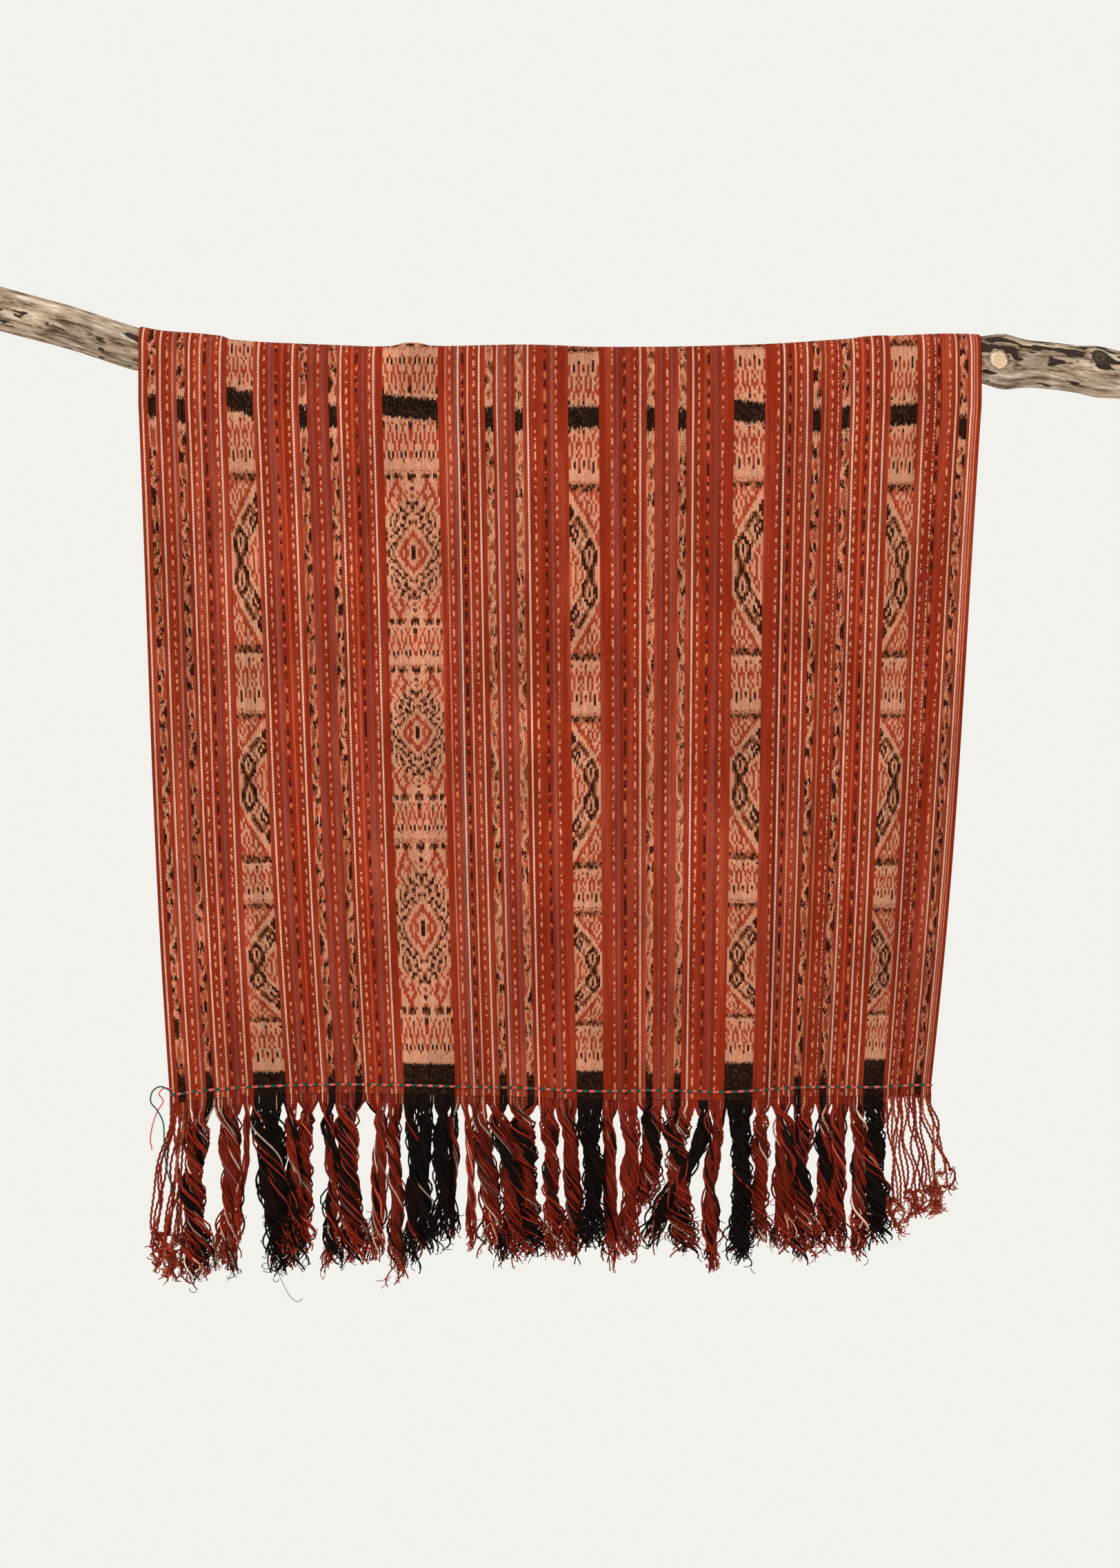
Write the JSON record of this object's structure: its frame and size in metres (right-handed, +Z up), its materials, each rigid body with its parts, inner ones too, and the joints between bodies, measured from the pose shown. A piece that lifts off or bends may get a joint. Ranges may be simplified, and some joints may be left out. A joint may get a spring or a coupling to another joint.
{
  "type": "ikat woven cloth on driftwood branch",
  "caption": "Warp ikat cloth in brick red, folded over a driftwood branch, with twined ends and long twisted fringes.",
  "frame": {"origin": "on the branch's centre line at the middle of the cloth", "axes": "+X along the branch to the viewer's right, +Y from the cloth's front to its back, +Z up"},
  "size_m": [1.44, 0.0982, 1.2325],
  "materials": {
    "driftwood": "weathered, matt",
    "ikat_cloth": "handspun cotton, warp faced, matt",
    "twining_yarn": "soft pink and green yarn, matt",
    "fringe_yarn": "twisted cotton yarn, matt"
  },
  "bodies": {
    "root": {"branch": "driftwood", "cloth": "ikat_cloth", "front_twining": "twining_yarn", "front_fringe": "fringe_yarn", "back_twining": "twining_yarn", "back_fringe": "fringe_yarn"}
  },
  "joints": []
}
